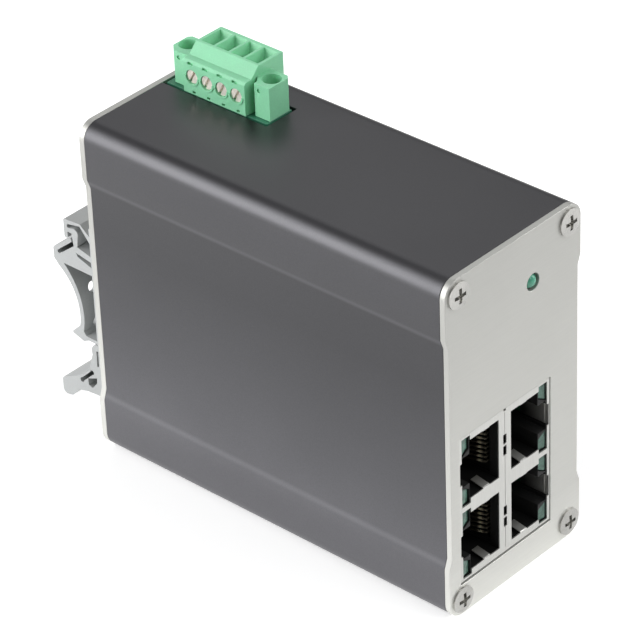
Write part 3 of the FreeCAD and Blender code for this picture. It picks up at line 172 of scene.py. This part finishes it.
def makeBrushGroup():
    # long fine lines along one axis, for rolled sheet, extrusion and turned metal
    group, start, end = makeGroup(
        "brushedLines",
        surfaceInputs + [
            ("Stretch", "NodeSocketVector", (1, 1, 1)), ("Line Scale", "NodeSocketFloat", 2500.0),
            ("Line Depth", "NodeSocketFloat", 0.05), ("Cloud Scale", "NodeSocketFloat", 60.0),
            ("Rough Low", "NodeSocketFloat", 0.3), ("Rough High", "NodeSocketFloat", 0.4)],
        surfaceOutputs)
    stretch = group.nodes.new("ShaderNodeVectorMath")
    stretch.operation = "MULTIPLY"
    group.links.new(start.outputs["Vector"], stretch.inputs[0])
    group.links.new(start.outputs["Stretch"], stretch.inputs[1])
    lines = addNoise(group, stretch.outputs["Vector"], start.outputs["Line Scale"], 3.0, 0.7)
    cloud = addNoise(group, start.outputs["Vector"], start.outputs["Cloud Scale"], 3.0)
    level = addMath(group, "MULTIPLY", addSwing(group, lines, start.outputs["Line Depth"]),
                    start.outputs["Level"])
    group.links.new(addScaled(group, start.outputs["Base"], level), end.inputs["Color"])
    both = addMath(group, "ADD", addMath(group, "MULTIPLY", lines, 0.5),
                   addMath(group, "MULTIPLY", cloud, 0.5))
    rough = spreadNoise(group, both, start.outputs["Rough Low"], start.outputs["Rough High"])
    group.links.new(rough, end.inputs["Roughness"])
    group.links.new(lines, end.inputs["Height"])
    return group


axisInputs = [("Vector", "NodeSocketVector", (0, 0, 0)), ("Axis", "NodeSocketVector", (0, 0, 1))]
levelOutput = [("Level", "NodeSocketFloat")]


def addReach(group, start):
    # how far a point lies along the axis
    along = group.nodes.new("ShaderNodeVectorMath")
    along.operation = "DOT_PRODUCT"
    group.links.new(start.outputs["Vector"], along.inputs[0])
    group.links.new(start.outputs["Axis"], along.inputs[1])
    return along.outputs["Value"]


def makeFadeGroup():
    # painted light and shade: brightness that goes from one level to another between two places along an
    # axis
    group, start, end = makeGroup(
        "paintedLightFade",
        axisInputs + [
            ("First Place", "NodeSocketFloat", 0.0), ("Last Place", "NodeSocketFloat", 1.0),
            ("First Level", "NodeSocketFloat", 1.0), ("Last Level", "NodeSocketFloat", 1.0)],
        levelOutput)
    ramp = addRange(group, addReach(group, start), start.outputs["First Place"], start.outputs["Last Place"],
                    start.outputs["First Level"], start.outputs["Last Level"])
    group.links.new(ramp.outputs["Result"], end.inputs["Level"])
    return group


def makeStripeGroup():
    # painted highlight: soft stripe across an axis
    group, start, end = makeGroup(
        "paintedHighlightStripe",
        axisInputs + [
            ("Centre", "NodeSocketFloat", 0.0), ("Half Width", "NodeSocketFloat", 0.001),
            ("Stripe Level", "NodeSocketFloat", 1.2)],
        levelOutput)
    offset = addMath(group, "SUBTRACT", addReach(group, start), start.outputs["Centre"])
    away = addMath(group, "ABSOLUTE", offset)
    ramp = addRange(group, away, 0.0, start.outputs["Half Width"], start.outputs["Stripe Level"], 1.0)
    ramp.interpolation_type = "SMOOTHSTEP"
    group.links.new(ramp.outputs["Result"], end.inputs["Level"])
    return group


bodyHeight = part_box("housing_extrusion")[1].z
stepPlace = 0.0126  # from the housing's underside, or its top, to the middle of a step in its sides
lowStep = stepPlace
highStep = bodyHeight - stepPlace
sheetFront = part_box("front_plate")[0].y
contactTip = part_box("jack_contacts")[0].y
upward = (0, 0, 1)
inward = (0, 1, 0)

finishes = {
    # effect with its values, shader values, relief as strength and height in metres,
    # fades of painted light and shade as axis, first place, last place, first level and last level,
    # stripes of painted highlight as axis, centre, half width and level
    "anodised": {
        "effect": "grain", "Base": (0.081, 0.0805, 0.0865, 1), "Grain Scale": 5200.0, "Grain Depth": 0.07,
        "Cloud Scale": 28.0, "Cloud Depth": 0.04, "Rough Low": 0.38, "Rough High": 0.44,
        "shader": {"Metallic": 0.75}, "relief": (0.2, 0.00002),
        # painted light: brighter towards the bottom as a painted reflection of the floor, lighter above the
        # upper step and just below the lower one, and painted shade darkening the roof
        "fades": [(upward, 0.0, 0.68 * bodyHeight, 1.82, 0.88),
                  (upward, highStep - 0.0009, highStep + 0.0004, 1.0, 1.22),
                  (upward, lowStep - 0.0006, lowStep + 0.0009, 1.05, 1.0),
                  (upward, bodyHeight - 0.0010, bodyHeight - 0.0001, 1.0, 0.76)],
        # painted highlights along the two steps in the sides
        "stripes": [(upward, lowStep, 0.0009, 1.28), (upward, highStep, 0.0010, 1.35)]},
    "plate": {
        "effect": "brush", "Base": (0.62, 0.62, 0.59, 1), "Stretch": (0.03, 1.0, 1.0), "Line Scale": 5200.0,
        "Line Depth": 0.03, "Rough Low": 0.42, "Rough High": 0.52,
        "shader": {"Metallic": 0.65}, "relief": (0.12, 0.00001),
        # painted light: the plate brighter towards its foot as a painted reflection of the floor, and darker
        # towards its top
        "fades": [(upward, 0.0, 0.012, 1.2, 1.0), (upward, 0.0, bodyHeight, 1.08, 0.79)]},
    "nickel": {
        "effect": "grain", "Base": (0.47, 0.465, 0.445, 1), "Grain Scale": 3000.0, "Grain Depth": 0.05,
        "Cloud Scale": 300.0, "Cloud Depth": 0.08, "Rough Low": 0.22, "Rough High": 0.34,
        "shader": {"Metallic": 1.0}, "relief": (0.1, 0.00001)},
    "tinScrew": {
        "effect": "grain", "Base": (0.86, 0.80, 0.72, 1), "Grain Scale": 3000.0, "Grain Depth": 0.05,
        "Cloud Scale": 500.0, "Cloud Depth": 0.1, "Rough Low": 0.34, "Rough High": 0.46,
        "shader": {"Metallic": 0.6}, "relief": (0.1, 0.00001)},
    "shield": {
        "effect": "brush", "Base": (0.61, 0.61, 0.585, 1), "Stretch": (1.0, 1.0, 0.06), "Line Scale": 4000.0,
        "Line Depth": 0.05, "Rough Low": 0.3, "Rough High": 0.42,
        "shader": {"Metallic": 0.8}, "relief": (0.1, 0.00001),
        # painted shade: the shield darker deeper inside the port, behind its front
        "fades": [(inward, sheetFront + 0.0006, sheetFront + 0.006, 1.0, 0.12)]},
    "tinned": {
        "effect": "brush", "Base": (0.72, 0.71, 0.66, 1), "Stretch": (1.0, 1.0, 0.06), "Line Scale": 4000.0,
        "Line Depth": 0.05, "Rough Low": 0.24, "Rough High": 0.36,
        "shader": {"Metallic": 0.9}, "relief": (0.1, 0.00001)},
    "black": {
        "effect": "grain", "Base": (0.008, 0.008, 0.008, 1), "Grain Scale": 6000.0, "Grain Depth": 0.15,
        "Cloud Scale": 120.0, "Cloud Depth": 0.1, "Rough Low": 0.45, "Rough High": 0.58,
        "shader": {"Metallic": 0.0, "Specular IOR Level": 0.3}, "relief": (0.2, 0.00002)},
    "gold": {
        "effect": "grain", "Base": (0.9, 0.72, 0.36, 1), "Grain Scale": 6000.0, "Grain Depth": 0.04,
        "Cloud Scale": 400.0, "Cloud Depth": 0.05, "Rough Low": 0.18, "Rough High": 0.26,
        "shader": {"Metallic": 1.0}, "relief": (0.05, 0.00001)},
    # painted shade: gold contacts darkened to shade, with a painted highlight band on their front bends
    "contact": {
        "effect": "grain", "Base": (0.065, 0.058, 0.042, 1), "Grain Scale": 6000.0, "Grain Depth": 0.04,
        "Cloud Scale": 400.0, "Cloud Depth": 0.05, "Rough Low": 0.25, "Rough High": 0.35,
        "shader": {"Metallic": 0.8}, "relief": (0.05, 0.00001),
        # painted highlight on the contacts' front bends
        "stripes": [(inward, contactTip + 0.0012, 0.0007, 18.0)]},
    "pipe": {
        "effect": "grain", "Base": (0.085, 0.19, 0.145, 1), "Grain Scale": 2500.0, "Grain Depth": 0.05,
        "Cloud Scale": 900.0, "Cloud Depth": 0.5, "Rough Low": 0.08, "Rough High": 0.25,
        "shader": {"Metallic": 0.0, "Transmission Weight": 0.15, "IOR": 1.49}, "relief": (0.2, 0.00003)},
    "lamp": {
        "effect": "grain", "Base": (0.10, 0.44, 0.29, 1), "Grain Scale": 2500.0, "Grain Depth": 0.05,
        "Cloud Scale": 500.0, "Cloud Depth": 0.15, "Rough Low": 0.08, "Rough High": 0.14,
        "shader": {"Metallic": 0.0, "Transmission Weight": 0.2, "IOR": 1.5}, "relief": (0.05, 0.00001)},
    "green": {
        "effect": "grain", "Base": (0.265, 0.68, 0.41, 1), "Grain Scale": 4500.0, "Grain Depth": 0.04,
        "Cloud Scale": 130.0, "Cloud Depth": 0.06, "Rough Low": 0.38, "Rough High": 0.5,
        "shader": {"Metallic": 0.0, "Subsurface Weight": 0.15, "Subsurface Radius": (0.0008, 0.0012, 0.0008),
                   "Subsurface Scale": 1.0}, "relief": (0.15, 0.00002)},
    "darkGreen": {
        "effect": "grain", "Base": (0.04, 0.20, 0.12, 1), "Grain Scale": 4500.0, "Grain Depth": 0.05,
        "Cloud Scale": 130.0, "Cloud Depth": 0.1, "Rough Low": 0.4, "Rough High": 0.52,
        "shader": {"Metallic": 0.0}, "relief": (0.15, 0.00002)},
    "grey": {
        "effect": "grain", "Base": (0.47, 0.485, 0.485, 1), "Grain Scale": 4200.0, "Grain Depth": 0.04,
        "Cloud Scale": 110.0, "Cloud Depth": 0.05, "Rough Low": 0.4, "Rough High": 0.52,
        "shader": {"Metallic": 0.0}, "relief": (0.15, 0.00002)},
    "board": {
        "effect": "grain", "Base": (0.01, 0.13, 0.05, 1), "Grain Scale": 3000.0, "Grain Depth": 0.1,
        "Cloud Scale": 200.0, "Cloud Depth": 0.15, "Rough Low": 0.25, "Rough High": 0.35,
        "shader": {"Metallic": 0.0}, "relief": (0.1, 0.00001)},
    "ceramic": {
        "effect": "grain", "Base": (0.3, 0.22, 0.15, 1), "Grain Scale": 6000.0, "Grain Depth": 0.1,
        "Cloud Scale": 500.0, "Cloud Depth": 0.1, "Rough Low": 0.45, "Rough High": 0.6,
        "shader": {"Metallic": 0.0}, "relief": (0.1, 0.00001)},
    "ferrite": {
        "effect": "grain", "Base": (0.03, 0.03, 0.032, 1), "Grain Scale": 5000.0, "Grain Depth": 0.2,
        "Cloud Scale": 400.0, "Cloud Depth": 0.1, "Rough Low": 0.55, "Rough High": 0.7,
        "shader": {"Metallic": 0.0}, "relief": (0.2, 0.00002)},
    "rawAluminium": {
        "effect": "brush", "Base": (0.62, 0.62, 0.62, 1), "Stretch": (1.0, 0.08, 1.0), "Line Scale": 3000.0,
        "Line Depth": 0.06, "Rough Low": 0.3, "Rough High": 0.42,
        "shader": {"Metallic": 1.0}, "relief": (0.1, 0.00001)},
}


def addEffect(tree, group, vector, values):
    effect = tree.nodes.new("ShaderNodeGroup")
    effect.node_tree = group
    tree.links.new(vector, effect.inputs["Vector"])
    for label, value in values.items():
        effect.inputs[label].default_value = value
    return effect


# painted light and shade: the product of a finish's fades and stripes, which scales its colour
def addPaintedLight(tree, groups, vector, finish):
    level = None
    steps = [("fade", ("Axis", "First Place", "Last Place", "First Level", "Last Level"), row)
             for row in finish.get("fades", [])]
    steps += [("stripe", ("Axis", "Centre", "Half Width", "Stripe Level"), row)
              for row in finish.get("stripes", [])]
    for kind, labels, row in steps:
        step = addEffect(tree, groups[kind], vector, dict(zip(labels, row))).outputs["Level"]
        level = step if level is None else addMath(tree, "MULTIPLY", level, step)
    return level


def makeFinish(name, finish, groups):
    material = bpy.data.materials.new(name + "Finish")
    material.use_nodes = True
    tree = material.node_tree
    shader = tree.nodes["Principled BSDF"]
    vector = tree.nodes.new("ShaderNodeTexCoord").outputs["Object"]
    group = groups[finish["effect"]]
    labels = [item.name for item in group.interface.items_tree if item.in_out == "INPUT"]
    effect = addEffect(tree, group, vector, {label: finish[label] for label in labels if label in finish})
    # painted light and shade scales the colour through the effect's Level
    paintedLight = addPaintedLight(tree, groups, vector, finish)
    if paintedLight is not None:
        tree.links.new(paintedLight, effect.inputs["Level"])
    tree.links.new(effect.outputs["Color"], shader.inputs["Base Color"])
    tree.links.new(effect.outputs["Roughness"], shader.inputs["Roughness"])
    relief = tree.nodes.new("ShaderNodeBump")
    relief.inputs["Strength"].default_value, relief.inputs["Distance"].default_value = finish["relief"]
    tree.links.new(effect.outputs["Height"], relief.inputs["Height"])
    tree.links.new(relief.outputs["Normal"], shader.inputs["Normal"])
    for label, value in finish["shader"].items():
        shader.inputs[label].default_value = value
    material.diffuse_color = finish["Base"]
    return material


def makeMaterials():
    groups = {"grain": makeGrainGroup(), "brush": makeBrushGroup(), "fade": makeFadeGroup(),
              "stripe": makeStripeGroup()}
    made = {name: makeFinish(name, finish, groups) for name, finish in finishes.items()}
    print("materials made:", len(made))
    return made


dressing = {
    # node: material, slot, edge width in metres, edge segments
    "housing_extrusion": ("anodised", "anodised_aluminium", 0.00014, 2),
    "front_plate": ("plate", "clear_aluminium", 0.00016, 2),
    "back_plate": ("plate", "clear_aluminium", 0.00016, 2),
    "front_plate_screws": ("nickel", "nickel_steel", 0.00012, 2),
    "back_plate_screws": ("nickel", "nickel_steel", 0.00012, 2),
    "jack_shield": ("shield", "shield_steel", 0.00006, 1),
    "jack_insulator": ("black", "black_plastic", 0.0001, 1),
    "jack_contacts": ("contact", "gold_contact", 0.00003, 1),
    "jack_light_pipes": ("pipe", "light_pipe", 0.00025, 2),
    "status_lamp": ("lamp", "green_lamp", 0.00005, 2),
    "lamp_holder": ("black", "black_plastic", 0.0001, 1),
    "terminal_header": ("darkGreen", "dark_green_plastic", 0.0001, 2),
    "terminal_plug": ("green", "green_plastic", 0.00014, 2),
    "clamp_screws": ("tinScrew", "nickel_steel", 0.00006, 1),
    "clamp_cages": ("nickel", "nickel_steel", 0.00006, 1),
    "flange_screws": ("nickel", "nickel_steel", 0.00008, 1),
    "din_clip": ("grey", "grey_plastic", 0.00016, 2),
    "clip_screws": ("nickel", "nickel_steel", 0.00012, 2),
}

plainNodes = {
    "jack_leds": "ceramic", "jack_signal_board": "board", "jack_magnetics": "ferrite",
    "jack_pins": "tinned", "lamp_legs": "tinned", "header_pins": "tinned", "header_nuts": "nickel",
    "plug_contacts": "gold", "clip_nuts": "nickel", "main_board": "board", "switch_chip": "black",
    "chip_legs": "tinned", "heat_sink": "rawAluminium", "memory_chip": "black", "crystal": "rawAluminium",
    "capacitors": "rawAluminium", "power_inductor": "ferrite", "power_regulator": "black",
    "power_diodes": "black", "input_fuse": "ceramic", "chip_capacitors": "ceramic",
    "chip_resistors": "ceramic",
}


seams = {
    "merge": 0.000002,  # metres between corners that are one
    "flat": 1.0,  # degrees between faces that are one flat
    "sharp": 28.0,  # degrees between faces from which their edge is sharp, and broken
}


def addPiece(name, bm, material):
    # smooth piece in one material from a finished bmesh
    mesh = bpy.data.meshes.new(name)
    bm.to_mesh(mesh)
    bm.free()
    mesh.materials.append(material)
    for polygon in mesh.polygons:
        polygon.use_smooth = True
    piece = bpy.data.objects.new(name, mesh)
    bpy.context.scene.collection.objects.link(piece)
    return piece


def breakEdges(piece, width, segments):
    bevel = piece.modifiers.new("edges", "BEVEL")
    bevel.width = width
    bevel.segments = segments
    bevel.limit_method = "ANGLE"
    bevel.angle_limit = math.radians(seams["sharp"])
    bevel.harden_normals = True
    bevel.miter_outer = "MITER_SHARP"


def dressNode(name, material, edge, segments):
    # merged copy of the CAD shape with its flats made whole and its edges broken
    bm = bmesh.new()
    bm.from_mesh(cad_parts[name].data)
    bmesh.ops.remove_doubles(bm, verts=bm.verts[:], dist=seams["merge"])
    bmesh.ops.dissolve_limit(bm, angle_limit=math.radians(seams["flat"]), verts=bm.verts[:],
                             edges=bm.edges[:])
    piece = addPiece(name + "Shown", bm, material)
    piece.data.set_sharp_from_angle(angle=math.radians(seams["sharp"]))
    breakEdges(piece, edge, segments)
    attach(piece, "root")
    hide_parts(name)


def dressObject(materials):
    for name, (finish, slotName, edge, segments) in dressing.items():
        dressNode(name, materials[finish], edge, segments)
    for name, finish in plainNodes.items():
        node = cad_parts[name]
        node.data.materials.clear()
        node.data.materials.append(materials[finish])
    print("pieces dressed:", len(dressing))


noses = {
    "facing": -0.3,  # a bar's front end has a normal whose y is below this
    "gap": 0.00003,  # between a nose and the bar behind it
    "inset": 0.96,  # share of the bar's section that a nose fills
    "reach": 0.00052,  # how far a nose comes forward of the bar's tip
    "droop": 0.00025,  # how much less the side towards the port comes forward
    "edge": 0.0003,
    "edgeSegments": 4,
}


def addPipeNoses(material):
    # rounded clear noses on the slanted ends of the light pipes, behind the shield's windows
    bm = bmesh.new()
    bm.from_mesh(bpy.data.objects["jack_light_pipesShown"].data)
    away = [face for face in bm.faces if face.normal.y > noses["facing"]]
    bmesh.ops.delete(bm, geom=away, context="FACES")
    front = min(vert.co.y for vert in bm.verts)
    for face in bm.faces[:]:
        middle = face.calc_center_median()
        bmesh.ops.scale(bm, verts=face.verts[:], vec=(noses["inset"], 1, noses["inset"]),
                        space=Matrix.Translation(-middle))
    bmesh.ops.translate(bm, verts=bm.verts[:], vec=(0, -noses["gap"], 0))
    grown = bmesh.ops.extrude_face_region(bm, geom=bm.faces[:], use_keep_orig=True)["geom"]
    for vert in [item for item in grown if isinstance(item, bmesh.types.BMVert)]:
        deep = vert.co.y > front + noses["edge"]
        vert.co.y = front - noses["reach"] + (noses["droop"] if deep else 0)
    bmesh.ops.recalc_face_normals(bm, faces=bm.faces[:])
    piece = addPiece("lightPipeNoses", bm, material)
    breakEdges(piece, noses["edge"], noses["edgeSegments"])
    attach(piece, "root")
    print("light pipe noses added")


room = {
    "worldColor": (1, 1, 1, 1),
    "worldStrength": 0.284,
    "backdropStrength": 1.0,
    "floorSize": 3.0,
    "floorColor": (0.88, 0.88, 0.88, 1),
    "floorGlow": 0.449,
    "lampAim": (0, 0, 0.04),
}

lamps = [
    # name, place, size, watts
    ("frontHighLamp", (0.1, -0.75, 0.85), 0.6, 2.42),
    ("backLeftLamp", (-0.65, 0.68, 0.75), 0.6, 3.28),
    ("backRightLamp", (0.6, 0.6, 0.8), 0.6, 1.18),
    ("rightLamp", (0.8, -0.5, 0.5), 0.6, 4.47),
    ("cornerLamp", (-0.95, 0.69, 0.30), 0.9, 11.6),
]


def makeWorld():
    # full white behind the object, and a dimmer white as light on it
    world = bpy.data.worlds.new("studio")
    bpy.context.scene.world = world
    world.use_nodes = True
    tree = world.node_tree
    tree.nodes.clear()
    out = tree.nodes.new("ShaderNodeOutputWorld")
    mix = tree.nodes.new("ShaderNodeMixShader")
    path = tree.nodes.new("ShaderNodeLightPath")
    tree.links.new(path.outputs["Is Camera Ray"], mix.inputs[0])
    for index, strength in ((1, room["worldStrength"]), (2, room["backdropStrength"])):
        light = tree.nodes.new("ShaderNodeBackground")
        light.inputs["Color"].default_value = room["worldColor"]
        light.inputs["Strength"].default_value = strength
        tree.links.new(light.outputs[0], mix.inputs[index])
    tree.links.new(mix.outputs[0], out.inputs[0])
    print("world lit")


def seenDirectly(tree):
    # 1 for what the camera, a reflection or a clear piece sees, 0 for light falling on things
    path = tree.nodes.new("ShaderNodeLightPath")
    first = addMath(tree, "MAXIMUM", path.outputs["Is Camera Ray"], path.outputs["Is Glossy Ray"])
    return addMath(tree, "MAXIMUM", first, path.outputs["Is Transmission Ray"])


def makeFloor():
    material = bpy.data.materials.new("paleFloor")
    material.use_nodes = True
    tree = material.node_tree
    tree.nodes.clear()
    out = tree.nodes.new("ShaderNodeOutputMaterial")
    matt = tree.nodes.new("ShaderNodeBsdfDiffuse")
    matt.inputs["Color"].default_value = room["floorColor"]
    glow = tree.nodes.new("ShaderNodeEmission")
    strength = addMath(tree, "MULTIPLY", seenDirectly(tree), room["floorGlow"])
    tree.links.new(strength, glow.inputs["Strength"])
    both = tree.nodes.new("ShaderNodeAddShader")
    tree.links.new(matt.outputs[0], both.inputs[0])
    tree.links.new(glow.outputs[0], both.inputs[1])
    tree.links.new(both.outputs[0], out.inputs[0])
    bm = bmesh.new()
    bmesh.ops.create_grid(bm, x_segments=1, y_segments=1, size=room["floorSize"])
    floor = addPiece("floor", bm, material)
    print("floor laid")


def makeLamps():
    for name, place, size, watts in lamps:
        data = bpy.data.lights.new(name, "AREA")
        data.shape = "DISK"
        data.size = size
        data.energy = watts
        lamp = bpy.data.objects.new(name, data)
        lamp.location = place
        aim = Vector(room["lampAim"]) - Vector(place)
        lamp.rotation_euler = aim.to_track_quat("-Z", "Y").to_euler()
        bpy.context.scene.collection.objects.link(lamp)
    print("lamps placed:", len(lamps))


makeCamera()
materials = makeMaterials()
dressObject(materials)
addPipeNoses(materials["pipe"])
makeWorld()
makeFloor()
makeLamps()
bpy.context.scene.view_settings.view_transform = "Standard"
